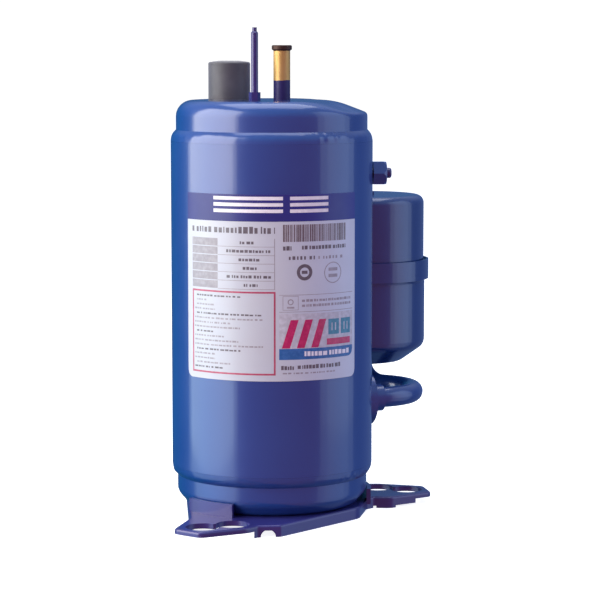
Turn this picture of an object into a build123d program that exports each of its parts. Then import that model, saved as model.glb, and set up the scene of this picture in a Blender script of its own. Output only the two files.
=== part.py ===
from build123d import *

import math
import os

# A hermetic rolling-piston refrigeration compressor with its suction accumulator.
# Millimetres, +Z up. The origin is on the casing's axis, at the surface the feet rest on.
# +Y points away from the label, and +X is on the right when the label is faced.

# Casing
SHELL_R = 58.5
WALL = 3.0
BORE_R = SHELL_R - WALL
SEAT = 0.05  # gap left between parts that fit into each other
CAP_R = BORE_R - SEAT
SHELL_LOW = 30.5
SHELL_HIGH = 218.0
WELD_RISE = 6.5
UPPER_SKIRT_LOW = 206.0
CAP_TOP = 241.5
CAP_CORNER_R = 9.5
CONE_LOW_Z = 234.2
CONE_TOP_R = 36.5
KNEE_R = 3.0
LOWER_CAP_BOTTOM = 6.85
LOWER_SKIRT_HIGH = 40.0
LOWER_FLAT_R = 49.5
LOWER_CORNER_Z = 14.0

# Base plate: three like feet, turned about the axis, two of them either side of the accumulator
PLATE = 3.0
PLATE_TOP = 6.8
FOOT_TURNS = (0.0, 137.3, 222.7)
FOOT_OUTLINE = [
    (-47.0, -52.4),
    (-54.8, -81.4),
    (-48.7, -86.0),
    (-39.4, -93.0),
    (-13.4, -80.2),
    (-8.0, -74.0),
    (-1.2, -73.4),
    (4.9, -72.4),
]
FOOT_ROUNDING = [7.0, 5.0, 2.5, 5.0, 8.0, 3.0, 1.5, 1.5]
FRONT_BEND = [(50.5, -23.0), (55.6, 3.0), (60.0, 7.5)]
FRONT_ROUNDING = [14.0, 4.0, 3.0]
OUTER_LOBE = (-38.8, -77.1)
INNER_LOBE = (-22.1, -70.1)
LOBE_R = 9.5
WAIST = 9.4
TAB_R = 55.8
TAB_THICK = 2.4
TAB_HIGH = 14.5
TAB_START = 215.0
TAB_SWEEP = 32.0
EDGE_START = (-10.0, -76.0)
EDGE_STOP = (-47.0, -55.0)
RELIEF_PLACE = (-2.2, -73.3)
RELIEF_R = 4.2
FOOT_EDGE_STOP = (-52.0, -70.5)
FOOT_EDGE_LOW = 1.3

# Electrical terminal and its rubber cap
TERMINAL_X = -24.6
TERMINAL_Y = 6.0
PAD_R = 23.5
TERMINAL_R = 10.4
PIN_CIRCLE_R = 5.2
PIN_R = 1.5
GLASS_R = 2.95
RUBBER_R = 12.15
RUBBER_TOP = 264.0
RUBBER_WALL = 1.25
STUD_X = -9.7
STUD_Y = -20.0
STUD_R = 2.0
STUD_TOP = 283.0
HEX_BASE_HIGH = 246.3
HEX_BASE_HALF = 2.9

# Discharge tube
DISCHARGE_X = 5.9
DISCHARGE_Y = 2.0
DISCHARGE_R = 4.85
DISCHARGE_BORE_R = 4.05
DISCHARGE_LOW = 228.0
DISCHARGE_TOP = 273.0
LIP_R = 5.85
LIP_HIGH = 3.2

# Side stud and nut
SIDE_ANGLE = 4.0
SIDE_Z = 199.0
SIDE_STUD_R = 3.0
SIDE_NUT_FLATS = 13.0
SIDE_NUT_LOW = 58.8
SIDE_NUT_HIGH = 66.7
SIDE_STUD_END = 69.8

# Accumulator
ACC_X = 55.8
ACC_Y = 84.5
ACC_R = 38.1
ACC_LOWER_R = 38.8
ACC_WALL = 1.8
ACC_TOP = 181.5
ACC_CORNER_R = 5.0
ACC_JOINT_Z = 141.0
ACC_SIDE_LOW = 89.0
ACC_FLAT_R = 24.0
ACC_BOTTOM = 78.5
INLET_R = 5.7
INLET_BORE_R = 4.9
INLET_TOP = 200.5
STRAP_LOW = 130.0
STRAP_HIGH = 142.0
STRAP_THICK = 1.2
STRAP_INNER_R = ACC_R + ACC_WALL + 2 * SEAT  # over the lower shell's flared mouth
STRAP_EAR = 13.0
STRAP_EAR_ANGLE = 80.0
STRAP_HOLE = 8.5  # from an ear's root to the screw
SCREEN_Z = 166.0
STANDPIPE_TOP = 160.0

# Suction loop from the accumulator's bottom into the pump
PIPE_R = 6.0
PIPE_WALL = 1.0
PIPE_Z = 64.0
ELBOW_R = 14.5
LOOP_R = 28.6
LEAVE_ANGLE = -30.0
SUCTION_ANGLE = 19.6
PIPE_END_R = 48.0
SOCKET_R = 8.0
SOCKET_END_R = 69.0
BOSS_R = 15.5
BOSS_PROUD = 2.6

# Label film on the front of the shell, angles from +X
LABEL_START = 213.0
LABEL_STOP = 325.3
LABEL_LOW = 85.6
LABEL_HIGH = 175.3
BAND_HIGH = 190.4
FILM = 0.15

# Pump
PUMP_LOW = 50.0
PUMP_HIGH = 78.0
CYLINDER_BORE_R = 27.0
THROW = 4.2
ROLLER_R = 22.75
ROLLER_BORE_R = 15.05
ECCENTRIC_R = 15.0
SHAFT_R = 8.0
BEARING_GAP = 0.03
END_GAP = 0.05
SHAFT_LOW = 22.0
SHAFT_HIGH = 200.0
VANE_ANGLE = 50.0
VANE_THICK = 4.0
VANE_NOSE_R = 27.1
VANE_TAIL_R = 43.5
VANE_SLOT_END_R = 53.0
SPRING_POCKET_R = 4.6
SPRING_R = 3.4
SPRING_WIRE = 0.9
SPRING_TURNS = 5
FLANGE_R = 47.0
MAIN_FLANGE_HIGH = 88.0
MAIN_HUB_R = 15.0
MAIN_HUB_HIGH = 106.0
SUB_FLANGE_LOW = 42.0
SUB_HUB_R = 13.5
SUB_HUB_LOW = 29.0
PORT_R = 3.5
PORT_CIRCLE_R = 23.2
PORT_ANGLE = VANE_ANGLE + 22.0
REED_TURN = 65.0
REED_SEAT_Z = 85.0
REED_THICK = 0.3
REED_HEAD_R = 4.6
REED_BODY_R = 2.9
REED_TAIL = 3.0
STOP_THICK = 1.2
STOP_RISE = 4.6
RIVET_R = 1.5
BOLT_CIRCLE_R = 41.0
BOLT_R = 2.5
BOLT_TURNS = (60.0, 120.0, 180.0, 240.0, 300.0)
BOLT_HEAD_R = 4.2
BOLT_HEAD_HIGH = 4.0
MUFFLER_R = 34.0
MUFFLER_SHEET = 1.2
MUFFLER_TOP = 102.0

# Motor
STATOR_LOW = 125.0
STATOR_HIGH = 175.0
STATOR_BORE_R = 29.0
SLOTS = 24
SLOT_LOW_R = 31.5
SLOT_HIGH_R = 46.0
SLOT_WIDTH = 4.6
SLOT_MOUTH = 2.0
WINDING_GAP = 0.3
END_TURN_LOW = 108.0
END_TURN_HIGH = 193.0
END_TURN_IN = 31.5
END_TURN_OUT = 50.0
ROTOR_R = 28.5
ROTOR_LOW = 122.0
ROTOR_HIGH = 178.0
CAGE_BARS = 20
CAGE_CIRCLE_R = 24.5
CAGE_BAR_R = 2.0
CAGE_RING = 6.0
WEIGHT_HIGH = 10.0


def rod(radius, low, high, x=0.0, y=0.0):
    """An upright cylinder."""
    return Pos(x, y, low) * extrude(Circle(radius), high - low)


def tube(outer, inner, low, high, x=0.0, y=0.0):
    """An upright tube."""
    return Pos(x, y, low) * extrude(Circle(outer) - Circle(inner), high - low)


def spoke(shape, reach, angle, height):
    """A shape drawn along +Z, laid outwards from the axis at an angle and a height."""
    return Pos(0, 0, height) * Rot(0, 0, angle) * Pos(reach, 0, 0) * Rot(0, 90, 0) * shape


def radial_rod(radius, start, stop, angle, height):
    """A cylinder that points away from the casing's axis."""
    return spoke(extrude(Circle(radius), stop - start), start, angle, height)


def turned(points, rounding, x=0.0, y=0.0):
    """A solid of revolution from (radius, height) corners, each with its own rounding."""
    corners = [(radius, 0, height) for radius, height in points]
    profile = FilletPolyline(*corners, radius=rounding, close=True)
    return Pos(x, y, 0) * revolve(make_face(profile), Axis.Z)


def sector(inner, outer, start, sweep, low, high):
    """Part of a ring, between two angles."""
    far = CenterArc((0, 0), outer, start, sweep)
    near = CenterArc((0, 0), inner, start, sweep)
    ends = [Line(near @ 0, far @ 0), Line(near @ 1, far @ 1)]
    return Pos(0, 0, low) * extrude(make_face([near, far, *ends]), high - low)


def polar(radius, angle):
    """Plan coordinates of a point at a radius and an angle from +X."""
    turn = math.radians(angle)
    return radius * math.cos(turn), radius * math.sin(turn)


def turned_about_axis(point, angle):
    """A plan point after a turn about the casing's axis."""
    turn = math.radians(angle)
    x = point[0] * math.cos(turn) - point[1] * math.sin(turn)
    y = point[0] * math.sin(turn) + point[1] * math.cos(turn)
    return x, y


def save(name, shape):
    """Writes one sub-part."""
    if isinstance(shape, ShapeList):
        shape = Compound(children=list(shape))
    export_step(shape, f"parts/{name}.step")


# ---------------------------------------------------------------- casing


def dome(inset, low):
    """The upper cap at full height all round: a skirt, a rounded shoulder and a flat crown."""
    radius = CAP_R - inset
    top = CAP_TOP - inset
    corners = [(0, low), (radius, low), (radius, top), (0, top)]
    return turned(corners, [0, 0, CAP_CORNER_R - inset, 0])


def shoulder_cut(inset):
    """What is pressed down round the crown: all above a shallow cone, but for the terminal's seat."""
    slope = (CAP_TOP - CONE_LOW_Z) / (CAP_R - CONE_TOP_R)
    drop = inset * math.hypot(1.0, slope)
    clear = CAP_TOP + 8.0
    outside = SHELL_R + 4.0
    knee = CONE_LOW_Z - drop - slope * (outside - CAP_R)
    start = CAP_R - (clear + drop - CONE_LOW_Z) / slope
    corners = [(start, 0, clear), (outside, 0, knee), (outside, 0, clear)]
    ring = revolve(make_face(Polyline(*corners, close=True)), Axis.Z)
    zone_r = PAD_R - 0.4 * inset
    flare = 24.0
    seat = Cone(zone_r + flare - 8, zone_r - 8, flare, align=(Align.CENTER, Align.CENTER, Align.MAX))
    return ring - Pos(TERMINAL_X, TERMINAL_Y, clear) * seat


def upper_cap():
    outside = dome(0.0, UPPER_SKIRT_LOW) - shoulder_cut(0.0)
    knee = [edge for edge in outside.edges() if abs(edge.center().Z - CONE_LOW_Z) < 0.3 and edge.length > CAP_R]
    outside = fillet(knee, KNEE_R)
    inside = dome(WALL, UPPER_SKIRT_LOW - 2) - shoulder_cut(WALL)
    terminal_hole = rod(TERMINAL_R + SEAT, UPPER_SKIRT_LOW, CAP_TOP + 1, TERMINAL_X, TERMINAL_Y)
    discharge_hole = rod(DISCHARGE_R + SEAT, UPPER_SKIRT_LOW, CAP_TOP + 1, DISCHARGE_X, DISCHARGE_Y)
    return outside - inside - terminal_hole - discharge_hole


def lower_cap():
    floor = LOWER_CAP_BOTTOM + WALL
    outline = [
        (0, LOWER_CAP_BOTTOM),
        (LOWER_FLAT_R, LOWER_CAP_BOTTOM),
        (CAP_R, LOWER_CORNER_Z),
        (CAP_R, LOWER_SKIRT_HIGH),
        (CAP_R - WALL, LOWER_SKIRT_HIGH),
        (CAP_R - WALL, LOWER_CORNER_Z + 1.2),
        (LOWER_FLAT_R - 1.2, floor),
        (0, floor),
    ]
    return turned(outline, [0, 6, 6, 0, 0, 3, 3, 0])


def weld_bead(edge, away):
    """The fillet of weld between a cap's skirt and the shell's end at height edge."""
    toe = edge + away * WELD_RISE
    inner = CAP_R + SEAT
    toe_point = (inner, 0, toe)
    edge_point = (SHELL_R, 0, edge)
    belly = ((inner + SHELL_R) / 2 + 0.7, 0, (edge + toe) / 2 + away * 0.4)
    sides = [
        Line((inner, 0, edge), edge_point),
        ThreePointArc(edge_point, belly, toe_point),
        Line(toe_point, (inner, 0, edge)),
    ]
    return revolve(make_face(sides), Axis.Z)


def shell_body():
    body = tube(SHELL_R, BORE_R, SHELL_LOW, SHELL_HIGH)
    return body - radial_rod(SOCKET_R + SEAT, BORE_R - 4, SHELL_R + 4, SUCTION_ANGLE, PIPE_Z)


# ---------------------------------------------------------------- base


def plate_outline():
    """The plate's corners and their rounding, foot by foot."""
    corners = []
    rounding = []
    for number, turn in enumerate(FOOT_TURNS):
        corners += [turned_about_axis(point, turn) for point in FOOT_OUTLINE]
        rounding += FOOT_ROUNDING
        if number == 0:
            corners += FRONT_BEND
            rounding += FRONT_ROUNDING
    return corners, rounding


def foot_slot(turn):
    """A foot's hole: two round lobes joined by a waist."""
    middle = ((OUTER_LOBE[0] + INNER_LOBE[0]) / 2, (OUTER_LOBE[1] + INNER_LOBE[1]) / 2)
    span = math.dist(OUTER_LOBE, INNER_LOBE)
    lean = math.degrees(math.atan2(INNER_LOBE[1] - OUTER_LOBE[1], INNER_LOBE[0] - OUTER_LOBE[0]))
    slot = Pos(*OUTER_LOBE) * Circle(LOBE_R)
    slot += Pos(*INNER_LOBE) * Circle(LOBE_R)
    slot += Pos(*middle) * Rot(0, 0, lean) * Rectangle(span, WAIST)
    return Rot(0, 0, turn) * Pos(0, 0, -1) * extrude(slot, PLATE_TOP + 2)


def wedge(start, stop, beyond=()):
    """A flat wedge from the casing's axis, out past two plan points."""
    points = [(0, 0), (2 * start[0], 2 * start[1]), *beyond, (2 * stop[0], 2 * stop[1])]
    return make_face(Polyline(*points, close=True))


def edge_relief(turn):
    """The round notch where a turned-down side meets its foot."""
    lean = math.degrees(math.atan2(RELIEF_PLACE[1], RELIEF_PLACE[0]))
    cutter = Rot(0, 0, lean) * Pos(math.hypot(*RELIEF_PLACE), 0, 0) * Rot(0, 90, 0) * Cylinder(RELIEF_R, 20)
    under_plate = Pos(0, 0, (PLATE_TOP - PLATE) / 2) * Box(400, 400, PLATE_TOP - PLATE)
    return Rot(0, 0, turn) * (cutter & under_plate)


def base_plate():
    corners, rounding = plate_outline()
    outline = make_face(FilletPolyline(*corners, radius=rounding, close=True))
    plate = Pos(0, 0, PLATE_TOP - PLATE) * extrude(outline, PLATE)
    rim = outline - offset(outline, -PLATE)
    for number, turn in enumerate(FOOT_TURNS):
        following = FOOT_TURNS[(number + 1) % len(FOOT_TURNS)]
        side_start = turned_about_axis(EDGE_START, turn)
        side_stop = turned_about_axis(EDGE_STOP, following)
        beyond = [(120.0, -70.0)] if number == 0 else []
        plate += extrude(rim & wedge(side_start, side_stop, beyond), PLATE_TOP - PLATE / 2)
        foot_root = turned_about_axis(EDGE_STOP, turn)
        foot_stop = turned_about_axis(FOOT_EDGE_STOP, turn)
        foot_edge = extrude(rim & wedge(foot_root, foot_stop), PLATE_TOP - PLATE / 2 - FOOT_EDGE_LOW)
        plate += Pos(0, 0, FOOT_EDGE_LOW) * foot_edge
    top_edges = plate.edges().filter_by_position(Axis.Z, PLATE_TOP - 0.01, PLATE_TOP + 0.01)
    plate = fillet(top_edges, 1.4)
    for turn in FOOT_TURNS:
        plate -= foot_slot(turn)
        plate -= edge_relief(turn)
        tab = sector(TAB_R, TAB_R + TAB_THICK, TAB_START, TAB_SWEEP, PLATE_TOP - PLATE / 2, TAB_HIGH)
        plate += Rot(0, 0, turn) * tab
    return plate


# ---------------------------------------------------------------- terminal


def pin_places():
    """Plan positions of the three terminal pins."""
    places = []
    for angle in (90.0, 210.0, 330.0):
        x, y = polar(PIN_CIRCLE_R, angle)
        places.append((TERMINAL_X + x, TERMINAL_Y + y))
    return places


def terminal_body():
    body = rod(TERMINAL_R, CAP_TOP - 4.5, CAP_TOP + 1, TERMINAL_X, TERMINAL_Y)
    for x, y in pin_places():
        body -= rod(GLASS_R + SEAT, CAP_TOP - 6, CAP_TOP + 2, x, y)
    return body


def terminal_glass():
    beads = [tube(GLASS_R, PIN_R + SEAT, CAP_TOP - 4, CAP_TOP + 1.6, x, y) for x, y in pin_places()]
    return Compound(children=beads)


def terminal_pins():
    pins = [chamfer(rod(PIN_R, CAP_TOP - 15, CAP_TOP + 13, x, y).edges(), 0.4) for x, y in pin_places()]
    return Compound(children=pins)


def terminal_cap():
    base = CAP_TOP + 0.1
    corners = [(0, base), (RUBBER_R, base), (RUBBER_R, RUBBER_TOP - 0.8), (6.0, RUBBER_TOP), (0, RUBBER_TOP)]
    outside = turned(corners, [0, 0, 1.2, 5.0, 0], TERMINAL_X, TERMINAL_Y)
    pocket = rod(RUBBER_R - RUBBER_WALL, base - 1, RUBBER_TOP - 3, TERMINAL_X, TERMINAL_Y)
    return outside - pocket


def terminal_connector():
    block = rod(9.5, CAP_TOP - 19, CAP_TOP - 8, TERMINAL_X, TERMINAL_Y)
    for x, y in pin_places():
        block -= rod(PIN_R + 2 * SEAT, CAP_TOP - 20, CAP_TOP - 6, x, y)
    return block


def lead_wires():
    """Three leads from the upper end turns to the connector's underside."""
    wires = []
    for number, (x, y) in enumerate(pin_places()):
        foot_x, foot_y = polar(41.0, 150.0 + 25.0 * number)
        top = CAP_TOP - 19.0 - SEAT
        route = FilletPolyline(
            (foot_x, foot_y, END_TURN_HIGH + SEAT),
            (foot_x, foot_y, END_TURN_HIGH + 14.0),
            (x, y, top - 8.0),
            (x, y, top),
            radius=3.0,
        )
        start = Plane(origin=route @ 0, z_dir=route % 0)
        wires.append(sweep(start * Circle(1.2), path=route))
    return Compound(children=wires)


def cover_stud():
    hexagon = extrude(RegularPolygon(HEX_BASE_HALF, 6, major_radius=False), HEX_BASE_HIGH - CAP_TOP - SEAT)
    hexagon = Pos(STUD_X, STUD_Y, CAP_TOP + SEAT) * hexagon
    shank = rod(STUD_R, HEX_BASE_HIGH - 0.5, STUD_TOP - 3, STUD_X, STUD_Y)
    tip = Cone(STUD_R, 1.3, 0.8, align=(Align.CENTER, Align.CENTER, Align.MIN))
    tip = Pos(STUD_X, STUD_Y, STUD_TOP - 3) * tip
    nib = rod(1.3, STUD_TOP - 2.2, STUD_TOP, STUD_X, STUD_Y)
    return hexagon + shank + tip + nib


def discharge_tube():
    corners = [
        (DISCHARGE_BORE_R, DISCHARGE_LOW),
        (DISCHARGE_R, DISCHARGE_LOW),
        (DISCHARGE_R, DISCHARGE_TOP - LIP_HIGH),
        (LIP_R, DISCHARGE_TOP - LIP_HIGH + 0.7),
        (LIP_R, DISCHARGE_TOP),
        (DISCHARGE_BORE_R, DISCHARGE_TOP),
    ]
    return turned(corners, [0, 0, 0.4, 0.3, 0.8, 0], DISCHARGE_X, DISCHARGE_Y)


# ---------------------------------------------------------------- side stud


def side_nut():
    hexagon = RegularPolygon(SIDE_NUT_FLATS / 2, 6, major_radius=False, rotation=30)
    blank = extrude(hexagon, SIDE_NUT_HIGH - SIDE_NUT_LOW)
    turned_corner = Cone(12.0, SIDE_NUT_FLATS / 2 - 0.1, 9.8, align=(Align.CENTER, Align.CENTER, Align.MAX))
    blank &= Pos(0, 0, SIDE_NUT_HIGH - SIDE_NUT_LOW) * turned_corner
    blank -= extrude(Circle(SIDE_STUD_R + SEAT), SIDE_NUT_HIGH)
    return spoke(blank, SIDE_NUT_LOW, SIDE_ANGLE, SIDE_Z)


def side_stud():
    stud = extrude(Circle(SIDE_STUD_R), SIDE_STUD_END - SHELL_R - SEAT)
    stud = fillet(stud.edges().sort_by(Axis.Z)[-1], 1.2)
    return spoke(stud, SHELL_R + SEAT, SIDE_ANGLE, SIDE_Z)


# ---------------------------------------------------------------- accumulator


def accumulator_upper_shell():
    low = ACC_JOINT_Z - 8
    inner = ACC_R - ACC_WALL
    top = ACC_TOP - ACC_WALL
    corners = [
        (INLET_R + SEAT, ACC_TOP),
        (ACC_R, ACC_TOP),
        (ACC_R, low),
        (inner, low),
        (inner, top),
        (INLET_R + SEAT, top),
    ]
    return turned(corners, [0, ACC_CORNER_R, 0, 0, ACC_CORNER_R - ACC_WALL, 0], ACC_X, ACC_Y)


def accumulator_lower_shell():
    step = ACC_JOINT_Z - 9.5
    inner = ACC_LOWER_R - ACC_WALL
    floor = ACC_BOTTOM + ACC_WALL
    corners = [
        (PIPE_R + SEAT, ACC_BOTTOM),
        (ACC_FLAT_R, ACC_BOTTOM),
        (ACC_LOWER_R, ACC_SIDE_LOW),
        (ACC_LOWER_R, step - 3),
        (ACC_R + SEAT + ACC_WALL, step),
        (ACC_R + SEAT + ACC_WALL, ACC_JOINT_Z),
        (ACC_R + SEAT, ACC_JOINT_Z),
        (ACC_R + SEAT, step + 0.8),
        (inner, step - 2.2),
        (inner, ACC_SIDE_LOW + 1.2),
        (ACC_FLAT_R - 0.4, floor),
        (PIPE_R + SEAT, floor),
    ]
    return turned(corners, [0, 6, 7, 2, 2, 0.8, 0.5, 0.5, 1, 5, 4, 0], ACC_X, ACC_Y)


def accumulator_inlet():
    stub = tube(INLET_R, INLET_BORE_R, ACC_TOP - 8, INLET_TOP, ACC_X, ACC_Y)
    collar = tube(INLET_R + 1.6, INLET_R - 0.2, ACC_TOP + SEAT, ACC_TOP + 1.6, ACC_X, ACC_Y)
    return stub + collar


def accumulator_screen():
    """The perforated baffle plate under the inlet."""
    plate = Circle(ACC_R - ACC_WALL - SEAT)
    for row, count in ((13.0, 8), (21.0, 12), (29.0, 18)):
        plate -= PolarLocations(row, count) * Circle(2.2)
    return Pos(ACC_X, ACC_Y, SCREEN_Z) * extrude(plate, 1.0)


def accumulator_standpipe():
    pipe = tube(PIPE_R, PIPE_R - PIPE_WALL, ACC_BOTTOM + 4, STANDPIPE_TOP, ACC_X, ACC_Y)
    bleed = Pos(ACC_X, ACC_Y, ACC_BOTTOM + 14) * Rot(90, 0, 0) * Cylinder(0.9, 30)
    return pipe - bleed


def accumulator_strap():
    """The clamp band, with two ears behind that the screw draws together."""
    outer = STRAP_INNER_R + STRAP_THICK
    band = tube(outer, STRAP_INNER_R, STRAP_LOW, STRAP_HIGH)
    gap = Rot(0, 0, STRAP_EAR_ANGLE) * Pos(outer, 0, (STRAP_LOW + STRAP_HIGH) / 2) * Box(10, 5, 30)
    band -= gap
    for side in (-1, 1):
        ear = Box(STRAP_EAR, STRAP_THICK, STRAP_HIGH - STRAP_LOW, align=(Align.MIN, Align.CENTER, Align.MIN))
        hole = Pos(STRAP_HOLE, 0, (STRAP_HIGH - STRAP_LOW) / 2) * Rot(90, 0, 0) * Cylinder(2.2, 6)
        lug = ear - hole
        band += Rot(0, 0, STRAP_EAR_ANGLE) * Pos(STRAP_INNER_R + 0.2, side * 3.1, STRAP_LOW) * lug
    return Pos(ACC_X, ACC_Y, 0) * band


def strap_screw():
    """The strap's cross screw and its hexagon nut."""
    middle = (STRAP_LOW + STRAP_HIGH) / 2
    screw = Rot(90, 0, 0) * Cylinder(2.0, 19)
    head = Pos(0, -6.2, 0) * Rot(90, 0, 0) * Cylinder(3.8, 4.6)
    nut = RegularPolygon(3.5, 6, major_radius=False)
    nut = Pos(0, 7.2, 0) * Rot(90, 0, 0) * extrude(nut, 3.2)
    whole = screw + head + nut
    return Pos(ACC_X, ACC_Y, middle) * Rot(0, 0, STRAP_EAR_ANGLE) * Pos(STRAP_INNER_R + 0.2 + STRAP_HOLE, 0, 0) * whole


def accumulator_saddle():
    """The spacer that is welded to the shell and carries the accumulator."""
    centre_angle = math.degrees(math.atan2(ACC_Y, ACC_X))
    distance = math.hypot(ACC_X, ACC_Y)
    block = Box(26, 34, STRAP_HIGH - STRAP_LOW)
    block = Rot(0, 0, centre_angle) * Pos(SHELL_R + 6, 0, (STRAP_LOW + STRAP_HIGH) / 2) * block
    strap_r = STRAP_INNER_R + STRAP_THICK + SEAT
    wide = rod(strap_r, STRAP_LOW - 20, STRAP_HIGH + 20, distance, 0)
    return block - rod(SHELL_R + SEAT, 100, 180) - Rot(0, 0, centre_angle) * wide


# ---------------------------------------------------------------- suction pipe


def suction_route():
    """The pipe's centre line: down, an elbow, a flat loop and a straight run to the pump."""
    leave = Vector(*polar(1.0, LEAVE_ANGLE), 0)
    beside_leave = Vector(leave.Y, -leave.X, 0)
    inwards = Vector(*polar(-1.0, SUCTION_ANGLE), 0)
    beside_run = Vector(inwards.Y, -inwards.X, 0)
    bottom = Vector(ACC_X, ACC_Y, PIPE_Z)
    shift = (LOOP_R - (bottom + beside_leave * LOOP_R).dot(beside_run)) / leave.dot(beside_run)
    loop_start = bottom + leave * shift
    loop_centre = loop_start + beside_leave * LOOP_R
    loop_stop = loop_centre - beside_run * LOOP_R
    loop_middle = loop_centre + ((loop_start + loop_stop) * 0.5 - loop_centre).normalized() * LOOP_R
    elbow_top = bottom + Vector(0, 0, ELBOW_R)
    elbow_stop = bottom + leave * ELBOW_R
    elbow_centre = elbow_top + leave * ELBOW_R
    elbow_middle = elbow_centre - (leave + Vector(0, 0, 1)).normalized() * ELBOW_R
    run_stop = Vector(*polar(PIPE_END_R, SUCTION_ANGLE), PIPE_Z)
    pieces = [
        Line(elbow_top + Vector(0, 0, 4), elbow_top),
        ThreePointArc(elbow_top, elbow_middle, elbow_stop),
        Line(elbow_stop, loop_start),
        ThreePointArc(loop_start, loop_middle, loop_stop),
        Line(loop_stop, run_stop),
    ]
    return Wire(pieces)


def suction_pipe():
    route = suction_route()
    start = Plane(origin=route @ 0, z_dir=route % 0)
    outside = sweep(start * Circle(PIPE_R), path=route)
    inside = sweep(start * Circle(PIPE_R - PIPE_WALL), path=route)
    return outside - inside


def suction_socket():
    length = SOCKET_END_R - BORE_R - 2 * SEAT
    sleeve = extrude(Circle(SOCKET_R) - Circle(PIPE_R + SEAT), length)
    sleeve = chamfer(sleeve.edges().filter_by(GeomType.CIRCLE).sort_by(Axis.Z)[-1], 0.8)
    return spoke(sleeve, BORE_R + 2 * SEAT, SUCTION_ANGLE, PIPE_Z)


def suction_boss():
    pad = radial_rod(BOSS_R, SHELL_R - 6, SHELL_R + BOSS_PROUD, SUCTION_ANGLE, PIPE_Z)
    pad -= rod(SHELL_R + SEAT, 0, 150)
    return pad - radial_rod(SOCKET_R + SEAT, 40, 80, SUCTION_ANGLE, PIPE_Z)


# ---------------------------------------------------------------- pump


def bolt_places():
    return [polar(BOLT_CIRCLE_R, VANE_ANGLE + turn) for turn in BOLT_TURNS]


def bolt_holes(low, high):
    holes = [rod(BOLT_R + 0.3, low, high, x, y) for x, y in bolt_places()]
    return Compound(children=holes)


def cylinder_block():
    block = tube(CAP_R, CYLINDER_BORE_R, PUMP_LOW, PUMP_HIGH)
    slot_length = VANE_SLOT_END_R - CYLINDER_BORE_R + 3
    from_inner_end = (Align.MIN, Align.CENTER, Align.MIN)
    slot = Box(slot_length, VANE_THICK + 0.08, PUMP_HIGH - PUMP_LOW + 2, align=from_inner_end)
    block -= Rot(0, 0, VANE_ANGLE) * Pos(CYLINDER_BORE_R - 3, 0, PUMP_LOW - 1) * slot
    block -= radial_rod(SPRING_POCKET_R, VANE_TAIL_R - 8, CAP_R + 2, VANE_ANGLE, PIPE_Z)
    block -= radial_rod(PIPE_R - PIPE_WALL, CYLINDER_BORE_R - 3, CAP_R, SUCTION_ANGLE, PIPE_Z)
    block -= radial_rod(PIPE_R + SEAT, PIPE_END_R - SEAT, CAP_R + 2, SUCTION_ANGLE, PIPE_Z)
    notch = Box(12, 26, 60)
    for turn in (110.0, 185.0, 260.0):
        block -= Rot(0, 0, VANE_ANGLE + turn) * Pos(CAP_R + 2, 0, PUMP_HIGH) * notch
    return block - bolt_holes(PUMP_LOW - 1, PUMP_HIGH + 1)


def vane():
    low = PUMP_LOW + END_GAP
    length = VANE_TAIL_R - VANE_NOSE_R
    from_inner_end = (Align.MIN, Align.CENTER, Align.MIN)
    blade = Box(length, VANE_THICK, PUMP_HIGH - PUMP_LOW - 2 * END_GAP, align=from_inner_end)
    blade = Pos(VANE_NOSE_R, 0, low) * blade
    nose_r = 3.2
    nose = rod(nose_r, low - 1, PUMP_HIGH + 1, VANE_NOSE_R + nose_r, 0)
    nose += Pos(VANE_NOSE_R + nose_r, 0, low - 1) * Box(
        length, VANE_THICK, PUMP_HIGH - PUMP_LOW + 4, align=(Align.MIN, Align.CENTER, Align.MIN)
    )
    return Rot(0, 0, VANE_ANGLE) * (blade & nose)


def vane_spring():
    length = CAP_R - VANE_TAIL_R - 2 * SPRING_WIRE
    helix = Helix(length / SPRING_TURNS, length, SPRING_R)
    start = Plane(origin=helix @ 0, z_dir=helix % 0)
    coil = sweep(start * Circle(SPRING_WIRE / 2), path=helix)
    return spoke(coil, VANE_TAIL_R + SPRING_WIRE, VANE_ANGLE, PIPE_Z)


def roller():
    x, y = polar(THROW, VANE_ANGLE)
    return tube(ROLLER_R, ROLLER_BORE_R, PUMP_LOW + END_GAP, PUMP_HIGH - END_GAP, x, y)


def crankshaft():
    x, y = polar(THROW, VANE_ANGLE)
    shaft = rod(SHAFT_R, SHAFT_LOW, SHAFT_HIGH)
    shaft = chamfer(shaft.edges().filter_by(GeomType.CIRCLE), 1.0)
    shaft += rod(ECCENTRIC_R, PUMP_LOW + 2, PUMP_HIGH - 2, x, y)
    oil_way = rod(3.2, SHAFT_LOW - 1, MAIN_HUB_HIGH)
    cross_hole = Pos(0, 0, (PUMP_LOW + PUMP_HIGH) / 2) * Rot(0, 90, VANE_ANGLE) * Cylinder(1.5, 2 * ECCENTRIC_R + 12)
    return shaft - oil_way - cross_hole


def oil_paddle():
    """The twisted strip in the shaft's end that lifts the oil."""
    height = 40.0
    strip = Rectangle(5.8, 1.0)
    sections = [Pos(0, 0, SHAFT_LOW - 4 + step * height / 4) * Rot(0, 0, 45 * step) * strip for step in range(5)]
    return loft(sections)


def reed_frame():
    """Plan line of the discharge reed: from its clamped tail towards the port."""
    tail = Vector(*polar(PORT_CIRCLE_R, PORT_ANGLE + REED_TURN), 0)
    port = Vector(*polar(PORT_CIRCLE_R, PORT_ANGLE), 0)
    return tail, port, (port - tail).normalized()


def reed_plane(height):
    """A plane with its origin at the reed's tail end and its X towards the port."""
    tail, _, forwards = reed_frame()
    return Plane(origin=tail - forwards * REED_TAIL + Vector(0, 0, height), x_dir=forwards, z_dir=(0, 0, 1))


def reed_reach():
    tail, port, _ = reed_frame()
    return REED_TAIL + (port - tail).length


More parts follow.
